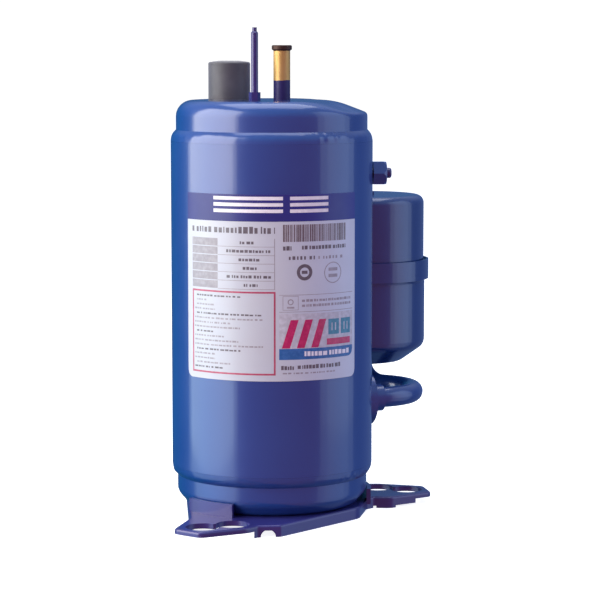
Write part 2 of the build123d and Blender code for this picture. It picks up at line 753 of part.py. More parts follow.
def reed_outline(grow, head_grow):
    """The reed's flat shape, or the same shape grown for its pocket and its stop."""
    reach = reed_reach()
    body = Pos((reach - grow) / 2, 0) * Rectangle(reach + grow, 2 * (REED_BODY_R + grow))
    return body + Pos(reach, 0) * Circle(REED_HEAD_R + head_grow)


def discharge_reed():
    blade = reed_outline(0.0, 0.0) - Pos(REED_TAIL, 0) * Circle(RIVET_R + 0.5)
    return reed_plane(REED_SEAT_Z + SEAT) * extrude(blade, REED_THICK)


def reed_stop():
    plate = extrude(reed_outline(0.0, -0.6), STOP_THICK)
    plate = reed_plane(REED_SEAT_Z + REED_THICK + 0.3) * (Rot(0, -STOP_RISE, 0) * plate)
    tail, _, _ = reed_frame()
    return plate - rod(RIVET_R + SEAT, REED_SEAT_Z - 2, MUFFLER_TOP, tail.X, tail.Y)


def reed_rivet():
    tail, _, _ = reed_frame()
    shank = rod(RIVET_R, REED_SEAT_Z - 4, REED_SEAT_Z + 3.4, tail.X, tail.Y)
    return shank + rod(2.6, REED_SEAT_Z + 2.35, REED_SEAT_Z + 3.6, tail.X, tail.Y)


def main_bearing():
    bearing = rod(FLANGE_R, PUMP_HIGH, MAIN_FLANGE_HIGH) + rod(MAIN_HUB_R, MAIN_FLANGE_HIGH - 1, MAIN_HUB_HIGH)
    bearing -= rod(SHAFT_R + BEARING_GAP, PUMP_HIGH - 1, MAIN_HUB_HIGH + 1)
    x, y = polar(PORT_CIRCLE_R, PORT_ANGLE)
    bearing -= rod(PORT_R, PUMP_HIGH - 1, MAIN_FLANGE_HIGH, x, y)
    pocket = reed_plane(REED_SEAT_Z) * extrude(reed_outline(0.8, 1.0), MAIN_FLANGE_HIGH)
    bearing -= pocket & rod(FLANGE_R, REED_SEAT_Z, MAIN_FLANGE_HIGH + 1)
    tail, _, _ = reed_frame()
    bearing -= rod(RIVET_R + SEAT, REED_SEAT_Z - 4 - SEAT, MAIN_FLANGE_HIGH, tail.X, tail.Y)
    return bearing - bolt_holes(PUMP_HIGH - 1, MAIN_FLANGE_HIGH + 1)


def sub_bearing():
    bearing = rod(FLANGE_R, SUB_FLANGE_LOW, PUMP_LOW) + rod(SUB_HUB_R, SUB_HUB_LOW, SUB_FLANGE_LOW + 1)
    bearing -= rod(SHAFT_R + BEARING_GAP, SUB_HUB_LOW - 1, PUMP_LOW + 1)
    return bearing - bolt_holes(SUB_FLANGE_LOW - 1, PUMP_LOW + 1)


def muffler():
    foot = MAIN_FLANGE_HIGH + SEAT
    inner = MUFFLER_R - MUFFLER_SHEET
    corners = [
        (FLANGE_R - 0.5, foot),
        (FLANGE_R - 0.5, foot + MUFFLER_SHEET),
        (MUFFLER_R, foot + MUFFLER_SHEET),
        (MUFFLER_R, MUFFLER_TOP),
        (MAIN_HUB_R + 1.5, MUFFLER_TOP),
        (MAIN_HUB_R + 1.5, MUFFLER_TOP - MUFFLER_SHEET),
        (inner, MUFFLER_TOP - MUFFLER_SHEET),
        (inner, foot),
    ]
    cup = turned(corners, [0, 0, 1.0, 4.0, 0, 0, 2.8, 0])
    for angle in (20.0, 200.0):
        x, y = polar(24.5, angle)
        cup -= rod(3.0, MUFFLER_TOP - 4, MUFFLER_TOP + 1, x, y)
    return cup - bolt_holes(MAIN_FLANGE_HIGH - 1, MAIN_FLANGE_HIGH + 4)


def pump_bolts():
    seat = MAIN_FLANGE_HIGH + MUFFLER_SHEET + 2 * SEAT
    bolts = []
    for x, y in bolt_places():
        socket = Pos(x, y, seat + BOLT_HEAD_HIGH - 2.2) * extrude(RegularPolygon(2.0, 6, major_radius=False), 3)
        head = rod(BOLT_HEAD_R, seat, seat + BOLT_HEAD_HIGH, x, y) - socket
        bolts.append(head + rod(BOLT_R, SUB_FLANGE_LOW - 1.5, seat + 0.5, x, y))
    return Compound(children=bolts)


# ---------------------------------------------------------------- motor


def stator_slot(low, high, slack):
    """One radial slot of the stator, or the copper in it when slack is more than 0."""
    depth = SLOT_HIGH_R - SLOT_LOW_R - 2 * slack
    bar = Box(depth, SLOT_WIDTH - 2 * slack, high - low, align=(Align.MIN, Align.CENTER, Align.MIN))
    return Pos(SLOT_LOW_R + slack, 0, low) * bar


def stator_core():
    core = tube(CAP_R, STATOR_BORE_R, STATOR_LOW, STATOR_HIGH)
    height = STATOR_HIGH - STATOR_LOW + 2
    mouth = Box(6, SLOT_MOUTH, height, align=(Align.CENTER, Align.CENTER, Align.MIN))
    slot = stator_slot(STATOR_LOW - 1, STATOR_HIGH + 1, 0.0) + Pos(STATOR_BORE_R, 0, STATOR_LOW - 1) * mouth
    cutters = [Rot(0, 0, number * 360 / SLOTS) * slot for number in range(SLOTS)]
    flat = Box(6, 22, height, align=(Align.MIN, Align.CENTER, Align.MIN))
    cutters += [Rot(0, 0, 37.5 + turn) * Pos(CAP_R - 2.2, 0, STATOR_LOW - 1) * flat for turn in (0, 90, 180, 270)]
    return core - Compound(children=cutters)


def end_turn(low, high):
    corners = [(END_TURN_IN, low), (END_TURN_OUT, low), (END_TURN_OUT, high), (END_TURN_IN, high)]
    return turned(corners, [3.5, 5.0, 5.0, 3.5])


def stator_winding():
    winding = end_turn(END_TURN_LOW, STATOR_LOW - 2 * SEAT) + end_turn(STATOR_HIGH + 2 * SEAT, END_TURN_HIGH)
    bar = stator_slot(STATOR_LOW - 4, STATOR_HIGH + 4, WINDING_GAP)
    bars = [Rot(0, 0, number * 360 / SLOTS) * bar for number in range(SLOTS)]
    return winding + bars


def cage_places():
    return [polar(CAGE_CIRCLE_R, number * 360 / CAGE_BARS) for number in range(CAGE_BARS)]


def rotor_core():
    core = tube(ROTOR_R, SHAFT_R + SEAT, ROTOR_LOW, ROTOR_HIGH)
    holes = [rod(CAGE_BAR_R + SEAT, ROTOR_LOW - 1, ROTOR_HIGH + 1, x, y) for x, y in cage_places()]
    return core - Compound(children=holes)


def rotor_cage():
    outer = ROTOR_R - 0.5
    inner = CAGE_CIRCLE_R - 5.0
    cage = tube(outer, inner, ROTOR_LOW - CAGE_RING, ROTOR_LOW - SEAT)
    cage += tube(outer, inner, ROTOR_HIGH + SEAT, ROTOR_HIGH + CAGE_RING)
    return cage + [rod(CAGE_BAR_R, ROTOR_LOW - 1, ROTOR_HIGH + 1, x, y) for x, y in cage_places()]


def upper_weight():
    low = ROTOR_HIGH + CAGE_RING + SEAT
    return sector(19.0, ROTOR_R - 1.5, VANE_ANGLE - 75, 150, low, low + WEIGHT_HIGH)


def lower_weight():
    high = ROTOR_LOW - CAGE_RING - SEAT
    return sector(19.0, ROTOR_R - 1.5, VANE_ANGLE + 105, 150, high - 6.5, high)


def oil_separator():
    low = ROTOR_HIGH + CAGE_RING + WEIGHT_HIGH + 2 * SEAT
    dish = [
        (SHAFT_R + SEAT, low),
        (24.0, low),
        (26.0, low + 2.4),
        (24.8, low + 3.0),
        (23.2, low + 1.4),
        (SHAFT_R + SEAT, low + 1.4),
    ]
    return turned(dish, [0, 1, 0.4, 0.4, 1, 0])


def label(low, high):
    """A curved sheet of film on the front of the shell."""
    inner = SHELL_R + SEAT
    return sector(inner, inner + FILM, LABEL_START, LABEL_STOP - LABEL_START, low, high)


PARTS = {
    "shell_body": shell_body,
    "upper_cap": upper_cap,
    "lower_cap": lower_cap,
    "upper_weld_bead": lambda: weld_bead(SHELL_HIGH + SEAT, 1),
    "lower_weld_bead": lambda: weld_bead(SHELL_LOW - SEAT, -1),
    "base_plate": base_plate,
    "terminal_body": terminal_body,
    "terminal_glass": terminal_glass,
    "terminal_pins": terminal_pins,
    "terminal_cap": terminal_cap,
    "terminal_connector": terminal_connector,
    "lead_wires": lead_wires,
    "cover_stud": cover_stud,
    "discharge_tube": discharge_tube,
    "side_nut": side_nut,
    "side_stud": side_stud,
    "accumulator_upper_shell": accumulator_upper_shell,
    "accumulator_lower_shell": accumulator_lower_shell,
    "accumulator_inlet": accumulator_inlet,
    "accumulator_screen": accumulator_screen,
    "accumulator_standpipe": accumulator_standpipe,
    "accumulator_strap": accumulator_strap,
    "strap_screw": strap_screw,
    "accumulator_saddle": accumulator_saddle,
    "suction_pipe": suction_pipe,
    "suction_socket": suction_socket,
    "suction_boss": suction_boss,
    "label_sheet": lambda: label(LABEL_LOW, LABEL_HIGH),
    "label_band": lambda: label(LABEL_HIGH + SEAT, BAND_HIGH),
    "cylinder_block": cylinder_block,
    "vane": vane,
    "vane_spring": vane_spring,
    "roller": roller,
    "crankshaft": crankshaft,
    "oil_paddle": oil_paddle,
    "discharge_reed": discharge_reed,
    "reed_stop": reed_stop,
    "reed_rivet": reed_rivet,
    "main_bearing": main_bearing,
    "sub_bearing": sub_bearing,
    "muffler": muffler,
    "pump_bolts": pump_bolts,
    "stator_core": stator_core,
    "stator_winding": stator_winding,
    "rotor_core": rotor_core,
    "rotor_cage": rotor_cage,
    "upper_balance_weight": upper_weight,
    "lower_balance_weight": lower_weight,
    "oil_separator": oil_separator,
}

os.makedirs("parts", exist_ok=True)
for node, make in PARTS.items():
    save(node, make())
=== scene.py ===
import math
import random

import bmesh
import bpy
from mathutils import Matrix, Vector


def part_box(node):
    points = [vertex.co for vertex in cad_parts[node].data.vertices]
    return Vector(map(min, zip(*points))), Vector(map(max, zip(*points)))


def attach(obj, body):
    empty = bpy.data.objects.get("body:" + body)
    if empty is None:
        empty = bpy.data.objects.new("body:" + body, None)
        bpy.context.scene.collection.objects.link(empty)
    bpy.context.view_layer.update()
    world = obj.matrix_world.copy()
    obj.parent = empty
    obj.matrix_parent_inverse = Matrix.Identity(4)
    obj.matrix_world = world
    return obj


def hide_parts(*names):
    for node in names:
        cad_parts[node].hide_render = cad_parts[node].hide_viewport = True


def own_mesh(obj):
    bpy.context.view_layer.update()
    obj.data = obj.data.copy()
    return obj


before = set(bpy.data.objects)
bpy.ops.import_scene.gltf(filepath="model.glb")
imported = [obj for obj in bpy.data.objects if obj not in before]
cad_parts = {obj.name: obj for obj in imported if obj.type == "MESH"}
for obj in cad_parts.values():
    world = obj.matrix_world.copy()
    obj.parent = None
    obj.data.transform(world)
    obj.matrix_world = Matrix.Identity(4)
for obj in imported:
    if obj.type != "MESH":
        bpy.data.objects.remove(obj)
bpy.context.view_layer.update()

# Looks for a hermetic rotary compressor: finishes, the upper cap's pressing, the weld beads,
# the vane's spring, the printed label, light and camera.
# Meshes are worked out in millimetres in the row frame: +Z up, the label faces -Y.

MM = 0.001
SEED = 11
draw = random.Random(SEED)
scene = bpy.context.scene

shell_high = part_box("shell_body")[1] / MM
cap_low, cap_high = (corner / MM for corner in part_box("upper_cap"))
upper_bead_low, upper_bead_high = (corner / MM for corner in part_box("upper_weld_bead"))
lower_bead_low, lower_bead_high = (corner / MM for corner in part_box("lower_weld_bead"))
sheet_low, sheet_high = (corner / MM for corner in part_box("label_sheet"))
band_low, band_high = (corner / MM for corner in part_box("label_band"))
SHELL_R = shell_high.x
CAP_R = cap_high.x


# ---------------------------------------------------------------- finishes


def ease_node(tree, value, start, stop, low=0.0, high=1.0):
    """A number that eases from low to high while value goes from start to stop."""
    spread = tree.nodes.new("ShaderNodeMapRange")
    spread.interpolation_type = "SMOOTHSTEP"
    for socket, number in (("From Min", start), ("From Max", stop), ("To Min", low), ("To Max", high)):
        spread.inputs[socket].default_value = number
    tree.links.new(value, spread.inputs["Value"])
    return spread.outputs["Result"]


def blend_node(tree, factor, first, second):
    """A colour that goes from first to second. Each is a colour or another node's output."""
    mix = tree.nodes.new("ShaderNodeMix")
    mix.data_type = "RGBA"
    tree.links.new(factor, mix.inputs["Factor"])
    for socket, value in ((mix.inputs[6], first), (mix.inputs[7], second)):
        if isinstance(value, tuple):
            socket.default_value = (*value, 1.0)
        else:
            tree.links.new(value, socket)
    return mix.outputs[2]


class Finish:
    """A Principled material whose textures are placed in the row frame."""

    def __init__(self, name, colour, roughness, metallic=0.0):
        self.material = bpy.data.materials.new(name)
        self.material.use_nodes = True
        self.tree = self.material.node_tree
        self.nodes = self.tree.nodes
        self.links = self.tree.links
        self.shader = self.nodes["Principled BSDF"]
        self.place = self.nodes.new("ShaderNodeTexCoord").outputs["Object"]
        self.normal = None
        self.set("Base Color", (*colour, 1.0))
        self.set("Roughness", roughness)
        self.set("Metallic", metallic)
        FINISHES[name] = self.material

    def set(self, socket, value):
        self.shader.inputs[socket].default_value = value

    def feed(self, socket, output):
        self.links.new(output, self.shader.inputs[socket])

    def coat(self, weight, roughness):
        self.set("Coat Weight", weight)
        self.set("Coat Roughness", roughness)

    def stretched(self, stretch):
        mapping = self.nodes.new("ShaderNodeMapping")
        mapping.inputs["Scale"].default_value = stretch
        self.links.new(self.place, mapping.inputs["Vector"])
        return mapping.outputs["Vector"]

    def noise(self, size, detail=2.0, stretch=(1, 1, 1)):
        """Cloudy noise with features about size millimetres across."""
        texture = self.nodes.new("ShaderNodeTexNoise")
        texture.inputs["Scale"].default_value = 1 / (size * MM)
        texture.inputs["Detail"].default_value = detail
        self.links.new(self.stretched(stretch), texture.inputs["Vector"])
        return texture.outputs["Fac"]

    def bands(self, pitch, direction, wobble=0.0):
        """Stripes one pitch apart along a direction."""
        texture = self.nodes.new("ShaderNodeTexWave")
        texture.bands_direction = direction
        texture.inputs["Scale"].default_value = math.tau / (20 * pitch * MM)
        texture.inputs["Distortion"].default_value = wobble
        self.links.new(self.place, texture.inputs["Vector"])
        return texture.outputs["Fac"]

    def axis_value(self, axis):
        split = self.nodes.new("ShaderNodeSeparateXYZ")
        self.links.new(self.place, split.inputs[0])
        return split.outputs[axis]

    def remap(self, value, start, stop, low, high):
        return ease_node(self.tree, value, start, stop, low, high)

    def blend(self, factor, first, second):
        return blend_node(self.tree, factor, first, second)

    def mottle(self, size, dark, light, start=0.2, stop=0.8):
        """Base colour that drifts between two tones."""
        tone = self.remap(self.noise(size, 3), start, stop, 0, 1)
        self.feed("Base Color", self.blend(tone, dark, light))

    def uneven_gloss(self, size, low, high, stretch=(1, 1, 1)):
        self.feed("Roughness", self.remap(self.noise(size, 3, stretch), 0.15, 0.85, low, high))

    def relief(self, height, depth):
        """Bump of depth millimetres, laid over any bump made before."""
        bump = self.nodes.new("ShaderNodeBump")
        bump.inputs["Distance"].default_value = depth * MM
        self.links.new(height, bump.inputs["Height"])
        if self.normal:
            self.links.new(self.normal, bump.inputs["Normal"])
        self.normal = bump.outputs["Normal"]
        self.feed("Normal", self.normal)


FINISHES = {}

ENAMEL = (0.013, 0.066, 0.285)
ENAMEL_DARK = (0.012, 0.052, 0.25)
# Painted shade: a darker copy of the enamel for the accumulator, which stands where less light falls
SHADED_ENAMEL = (0.008, 0.048, 0.22)
SHADED_ENAMEL_DARK = (0.008, 0.038, 0.18)
NAVY = (0.020, 0.014, 0.11)
FITTING = (0.030, 0.026, 0.17)
# Painted shade: a darker, more violet copy of the enamel for the base plate, which stands low where less
# light falls
PLATE_SHADED_DARK = (0.030, 0.022, 0.16)
PLATE_SHADED_LIGHT = (0.040, 0.040, 0.22)
COPPER = (0.70, 0.45, 0.17)
COPPER_DARK = (0.62, 0.38, 0.12)
OXIDE = (0.06, 0.030, 0.022)
PAINT_LINE = 252.7  # height at which the discharge tube's paint ends
PAINT_RAGGED = 0.8
LIP_TALL = 3.4
# Painted light: the label's films grow lighter and bluer towards the right, where the cool light from the
# right falls
PAINTED_LIGHT_START, PAINTED_LIGHT_STOP = -10.0, 45.0  # X between which the label's tone drifts


def enamel(name, dark, light, peel, lump, gloss=1.0):
    """Glossy enamel with orange peel and a slow waviness in its reflections."""
    paint = Finish(name, light, 0.3, 0.12)
    paint.mottle(70, dark, light)
    paint.uneven_gloss(30, 0.28, 0.36)
    paint.coat(gloss, 0.09)
    paint.relief(paint.noise(40, 0), lump)
    paint.relief(paint.noise(1.8, 1), peel)


def copper_tube():
    """Bright drawn copper, painted over below a ragged line, with an oxidised lip."""
    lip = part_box("discharge_tube")[1].z / MM - LIP_TALL
    tube = Finish("copper", COPPER, 0.5, 0.6)
    height = tube.axis_value("Z")
    ragged = tube.nodes.new("ShaderNodeMath")
    ragged.operation = "MULTIPLY_ADD"
    ragged.inputs[1].default_value = PAINT_RAGGED * MM
    tube.links.new(tube.noise(3, 2), ragged.inputs[0])
    tube.links.new(height, ragged.inputs[2])
    bare = tube.remap(ragged.outputs[0], (PAINT_LINE + 0.3) * MM, (PAINT_LINE + 0.6) * MM, 0, 1)
    burnt = tube.remap(ragged.outputs[0], (lip + 0.2) * MM, (lip + 0.9) * MM, 0, 1)
    metal = tube.blend(tube.remap(tube.noise(7, 3, (1, 1, 0.25)), 0.35, 0.7, 0, 1), COPPER_DARK, COPPER)
    metal = tube.blend(burnt, metal, OXIDE)
    tube.feed("Base Color", tube.blend(bare, NAVY, metal))
    tube.feed("Metallic", tube.remap(bare, 0, 1, 0.1, 0.6))
    tube.uneven_gloss(5, 0.44, 0.58, (1, 1, 0.2))
    tube.relief(tube.noise(0.9, 2, (1, 1, 0.15)), 0.01)


def moulded_rubber():
    rubber = Finish("rubber_grey", (0.070, 0.070, 0.084), 0.5)
    rubber.mottle(9, (0.058, 0.058, 0.070), (0.080, 0.080, 0.096))
    rubber.uneven_gloss(4, 0.40, 0.58)
    rubber.set("Sheen Weight", 0.4)
    rubber.set("Sheen Roughness", 0.5)
    rubber.relief(rubber.noise(0.45, 3), 0.02)
    rubber.relief(rubber.noise(6, 1, (1, 1, 0.2)), 0.05)


def steel(name, colour, low, high, grain, depth, stretch=(1, 1, 1)):
    """Bright metal with drifting tone, uneven gloss and a fine grain."""
    metal = Finish(name, colour, (low + high) / 2, 1.0)
    metal.mottle(8, tuple(0.8 * c for c in colour), tuple(min(1.0, 1.1 * c) for c in colour))
    metal.uneven_gloss(3, low, high, stretch)
    metal.relief(metal.noise(grain, 3, stretch), depth)
    return metal


def laminations():
    """The edges of stacked sheets."""
    metal = steel("electrical_steel", (0.36, 0.36, 0.38), 0.35, 0.5, 1.5, 0.01)
    metal.relief(metal.bands(0.5, "Z"), 0.06)


def windings():
    """Varnished wire laid side by side."""
    wire = Finish("winding_copper", (0.62, 0.27, 0.12), 0.25, 0.85)
    wire.mottle(3, (0.42, 0.15, 0.06), (0.70, 0.32, 0.14))
    wire.uneven_gloss(2, 0.18, 0.35)
    wire.coat(0.6, 0.15)
    wire.relief(wire.bands(0.9, "DIAGONAL", 1.5), 0.25)


def plastic(name, colour, roughness, grain):
    moulded = Finish(name, colour, roughness)
    moulded.mottle(6, tuple(0.8 * c for c in colour), tuple(1.15 * c for c in colour))
    moulded.uneven_gloss(4, roughness - 0.06, roughness + 0.08)
    moulded.relief(moulded.noise(grain, 2), 0.015)


def glass_seal():
    glass = Finish("glass_seal", (0.2, 0.32, 0.3), 0.12)
    glass.mottle(1.5, (0.14, 0.24, 0.22), (0.24, 0.38, 0.35))
    glass.set("Transmission Weight", 0.6)
    glass.relief(glass.noise(0.8, 2), 0.01)


def film(name, left, right, roughness, gloss):
    """Polyester film: painted light that makes it lighter and bluer towards the right, fine creases and a
    coat.
    """
    sheet = Finish(name, left, roughness)
    painted_light_share = sheet.remap(sheet.axis_value("X"), PAINTED_LIGHT_START * MM, PAINTED_LIGHT_STOP * MM, 0, 1)
    colour = sheet.blend(painted_light_share, left, right)
    cloud = sheet.remap(sheet.noise(14, 2), 0.3, 0.7, 0.0, 0.35)
    sheet.feed("Base Color", sheet.blend(cloud, colour, tuple(0.85 * c for c in right)))
    sheet.uneven_gloss(9, roughness - 0.06, roughness + 0.06)
    sheet.coat(gloss, 0.15)
    sheet.relief(sheet.noise(22, 2, (1, 1, 0.4)), 0.04)


def ink(name, colour):
    """Printed ink, thinner in places."""
    print_ink = Finish(name, colour, 0.4)
    thin = tuple(min(1.0, 1.35 * c + 0.03) for c in colour)
    print_ink.mottle(2.5, colour, thin, 0.3, 0.9)
    print_ink.coat(0.4, 0.15)
    print_ink.relief(print_ink.noise(0.6, 2), 0.004)


enamel("blue_paint", ENAMEL_DARK, ENAMEL, 0.003, 0.06)
enamel("weld_paint", ENAMEL_DARK, ENAMEL, 0.012, 0.12)
enamel("painted_shade_enamel", SHADED_ENAMEL_DARK, SHADED_ENAMEL, 0.003, 0.06)
enamel("plate_painted_shade", PLATE_SHADED_DARK, PLATE_SHADED_LIGHT, 0.006, 0.08, 0.7)
enamel("fitting_paint", NAVY, FITTING, 0.004, 0.03, 0.6)
copper_tube()
moulded_rubber()
steel("zinc_steel", (0.52, 0.52, 0.55), 0.28, 0.45, 1.2, 0.01)
steel("machined_steel", (0.55, 0.56, 0.58), 0.18, 0.3, 0.8, 0.006, (1, 1, 8))
steel("spring_steel", (0.42, 0.43, 0.46), 0.15, 0.28, 1.0, 0.004, (1, 1, 6))
steel("cast_iron", (0.25, 0.25, 0.26), 0.5, 0.7, 0.7, 0.09)
steel("sintered_iron", (0.33, 0.33, 0.34), 0.4, 0.6, 0.35, 0.05)
steel("aluminium", (0.72, 0.73, 0.75), 0.3, 0.5, 1.0, 0.04)
steel("brass", (0.70, 0.55, 0.27), 0.25, 0.4, 0.9, 0.02)
laminations()
windings()
glass_seal()
plastic("nylon_black", (0.04, 0.04, 0.045), 0.45, 0.5)
plastic("lead_insulation", (0.55, 0.10, 0.08), 0.4, 0.8)
film("label_film", (0.56, 0.60, 0.66), (0.66, 0.74, 0.84), 0.4, 0.3)
film("label_tint", (0.018, 0.022, 0.18), (0.024, 0.036, 0.28), 0.4, 0.12)
ink("ink_black", (0.11, 0.10, 0.12))
ink("ink_grey", (0.30, 0.29, 0.33))
ink("ink_pale", (0.29, 0.28, 0.31))
ink("ink_barcode", (0.13, 0.10, 0.11))
ink("ink_red", (0.40, 0.05, 0.11))
ink("ink_crimson", (0.50, 0.008, 0.11))
ink("ink_teal", (0.03, 0.22, 0.33))
ink("ink_blue", (0.01, 0.12, 0.36))
ink("ink_white", (0.85, 0.84, 0.90))
ink("ink_silver", (0.50, 0.52, 0.58))

# Finishes other than the slot's: painted shade on the base plate and the accumulator, navy paint on the
# fittings
OTHER_PAINT = {"base_plate": "plate_painted_shade"}
for name in ("cover_stud", "side_stud", "strap_screw"):
    OTHER_PAINT[name] = "fitting_paint"
for name in ("accumulator_upper_shell", "accumulator_lower_shell", "accumulator_strap"):
    OTHER_PAINT[name] = "painted_shade_enamel"
for name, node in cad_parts.items():
    for place in node.material_slots:
        place.material = FINISHES[OTHER_PAINT.get(name, place.material.name.split(".")[0])]


# ---------------------------------------------------------------- mesh helpers


def swept(sections, closed=False):
    """A skin over a row of like sections, with a lid on each end where the row isn't closed."""
    count = len(sections[0])
    vertices = [point for section in sections for point in section]
    rows = len(sections) if closed else len(sections) - 1
    faces = []
    for row in range(rows):
        here = row * count
        there = (row + 1) % len(sections) * count
        for k in range(count):
            after = (k + 1) % count
            faces.append((here + k, here + after, there + after, there + k))
    if not closed:
        faces.append(tuple(range(count)))
        faces.append(tuple(range(rows * count, (rows + 1) * count)))
    return vertices, faces


TOUCHING = 0.0001  # points nearer than this are one


def make_piece(name, skins, finish, body="housing", crease=35):
    """One mesh of closed skins, which rides on a body. Points nearer than TOUCHING are joined."""
    vertices = []
    faces = []
    for skin_vertices, skin_faces in skins:
        start = len(vertices)
        vertices += [Vector(point) * MM for point in skin_vertices]
        faces += [tuple(start + k for k in face) for face in skin_faces]
    mesh = bpy.data.meshes.new(name)
    mesh.from_pydata(vertices, [], faces)
    work = bmesh.new()
    work.from_mesh(mesh)
    bmesh.ops.remove_doubles(work, verts=work.verts, dist=TOUCHING * MM)
    bmesh.ops.recalc_face_normals(work, faces=work.faces)
    work.to_mesh(mesh)
    work.free()
    mesh.shade_smooth()
    mesh.set_sharp_from_angle(angle=math.radians(crease))
    mesh.materials.append(FINISHES[finish])
    piece = bpy.data.objects.new(name, mesh)
    scene.collection.objects.link(piece)
    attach(piece, body)
    return piece


# ---------------------------------------------------------------- upper cap

CAP_WALL = 3.0
CAP_CORNER_R = 9.5
SLOPE_LOW = 234.2  # where the pressed slope on the right meets the skirt
SLOPE = 0.385
SLOPE_LIFT = 8.0  # how far the slope is raised, to clear the cap, away from the right
SLOPE_EASE = 3.0
SLOPE_WIDE = (28.0, 92.0)  # degrees either side of +X between which the slope fades out
CAP_COLUMNS = 360
SKIRT_STEPS = 8
SHOULDER_STEPS = 20
CROWN_STEPS = 24


def eased(value, start, stop):
    share = min(max((value - start) / (stop - start), 0.0), 1.0)
    return share * share * (3 - 2 * share)


def soft_lower(a, b, reach):
    """The lower of two heights, rounded off where they are nearly the same."""
    near = max(reach - abs(a - b), 0.0) / reach
    return min(a, b) - near * near * reach / 4


def cap_profile(inset):
    """A skin of the cap seen from the side, as radius and height from the skirt's foot to the middle."""
    radius = CAP_R - inset
    top = cap_high.z - inset
    corner = CAP_CORNER_R - inset
    skirt_tall = top - corner - cap_low.z
    skirt = [(radius, cap_low.z + skirt_tall * k / SKIRT_STEPS) for k in range(SKIRT_STEPS)]
    turns = [math.pi / 2 * k / SHOULDER_STEPS for k in range(SHOULDER_STEPS + 1)]
    shoulder = [(radius - corner * (1 - math.cos(t)), top - corner * (1 - math.sin(t))) for t in turns]
    crown = [((radius - corner) * (1 - k / CROWN_STEPS), top) for k in range(1, CROWN_STEPS + 1)]
    return skirt + shoulder + crown


def smooth_cap():
    """Full height and round-shouldered, but pressed down to a slope on the right."""
    sections = []
    for step in range(CAP_COLUMNS):
        angle = step * 360 / CAP_COLUMNS
        away = min(angle, 360 - angle)
        lift = SLOPE_LIFT * eased(away, *SLOPE_WIDE)
        turn = math.radians(angle)
        section = []
        for inset, order in ((0.0, 1), (CAP_WALL, -1)):
            for r, z in cap_profile(inset)[::order]:
                slope_z = SLOPE_LOW - inset + lift + SLOPE * (CAP_R - r)
                height = soft_lower(z, slope_z, SLOPE_EASE)
                section.append((r * math.cos(turn), r * math.sin(turn), height))
        sections.append(section)
    skin = swept(sections, closed=True)
    cap = make_piece("upper_cap_pressing", [skin], "blue_paint", crease=60)
    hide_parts("upper_cap")


smooth_cap()


# ---------------------------------------------------------------- weld beads

BEAD_STEPS = 540
BEAD_RIPPLE = 0.035
BEAD_RIPPLES = 48
# Lumps in the bead: place and width in degrees, and height
LUMPS = ((33.0, 2.2, 0.45), (39.0, 1.6, 0.35), (27.5, 1.6, 0.25), (-96.0, 4.0, 0.3), (150.0, 4.0, 0.4))


def bead_lift(angle, ripples, shift):
    """How far the bead stands out at an angle in degrees right of the label's middle."""
    lift = BEAD_RIPPLE * math.sin(math.radians(angle * ripples))
    lift += 0.5 * BEAD_RIPPLE * math.sin(math.radians(angle * 7 + 40 * shift))
    for place, width, height in LUMPS:
        away = (angle - place - shift + 180) % 360 - 180
        lift += height * math.exp(-((away / width) ** 2))
    return lift


def weld_bead(name, node, edge, toe, shift):
    """A rippled fillet from the shell's end, at height edge, down to the cap's skirt, at height toe."""
    inner = CAP_R + 0.05
    away = math.copysign(1, toe - edge)
    arc_points = 9
    sections = []
    for step in range(BEAD_STEPS):
        angle = step * 360 / BEAD_STEPS
        lift = bead_lift(angle, BEAD_RIPPLES, shift)
        turn = math.radians(angle - 90)
        section = [(inner, edge)]
        for k in range(arc_points):
            share = k / (arc_points - 1)
            swell = math.sin(math.pi * share)
            radius = SHELL_R + (inner - SHELL_R) * share + swell * (0.7 + lift)
            section.append((radius, edge + (toe - edge) * share + away * swell * (0.4 + 0.4 * lift)))
        sections.append([(r * math.cos(turn), r * math.sin(turn), z) for r, z in section])
    bead = make_piece(name, [swept(sections, closed=True)], "weld_paint", crease=50)
    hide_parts(node)


weld_bead("upper_weld_ripples", "upper_weld_bead", upper_bead_low.z, upper_bead_high.z, 0.0)
weld_bead("lower_weld_ripples", "lower_weld_bead", lower_bead_high.z, lower_bead_low.z, 17.0)


# ---------------------------------------------------------------- vane spring

SPRING_TURN = 50.0  # degrees from +X towards +Y
SPRING_START, SPRING_STOP = 44.4, 54.55  # radii of the wire's two ends
SPRING_Z = 64.0
SPRING_COIL_R = 3.4
SPRING_WIRE_R = 0.45
SPRING_COILS = 5
SPRING_COIL_STEPS = 24
SPRING_WIRE_SIDES = 12


def vane_spring():
    """The coil behind the vane, drawn at one length; in the compressor it is pressed together as the vane
    slides outward.
    """
    turn = math.radians(SPRING_TURN)
    outward = Vector((math.cos(turn), math.sin(turn), 0))
    painted_light_share = Vector((-outward.y, outward.x, 0))
    upward = Vector((0, 0, 1))
    steps = SPRING_COILS * SPRING_COIL_STEPS
    sections = []
    for step in range(steps + 1):
        share = step / steps
        coil = math.tau * SPRING_COILS * share
        spoke = painted_light_share * math.cos(coil) + upward * math.sin(coil)
        middle = outward * (SPRING_START + (SPRING_STOP - SPRING_START) * share) + upward * SPRING_Z
        middle += spoke * SPRING_COIL_R
        section = []
        for k in range(SPRING_WIRE_SIDES):
            round_wire = math.tau * k / SPRING_WIRE_SIDES
            side = spoke * math.cos(round_wire) + outward * math.sin(round_wire)
            section.append(tuple(middle + side * SPRING_WIRE_R))
        sections.append(section)
    coil_piece = make_piece("vane_spring_coil", [swept(sections)], "spring_steel")
    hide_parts("vane_spring")
    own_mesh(coil_piece)


vane_spring()


# ---------------------------------------------------------------- label

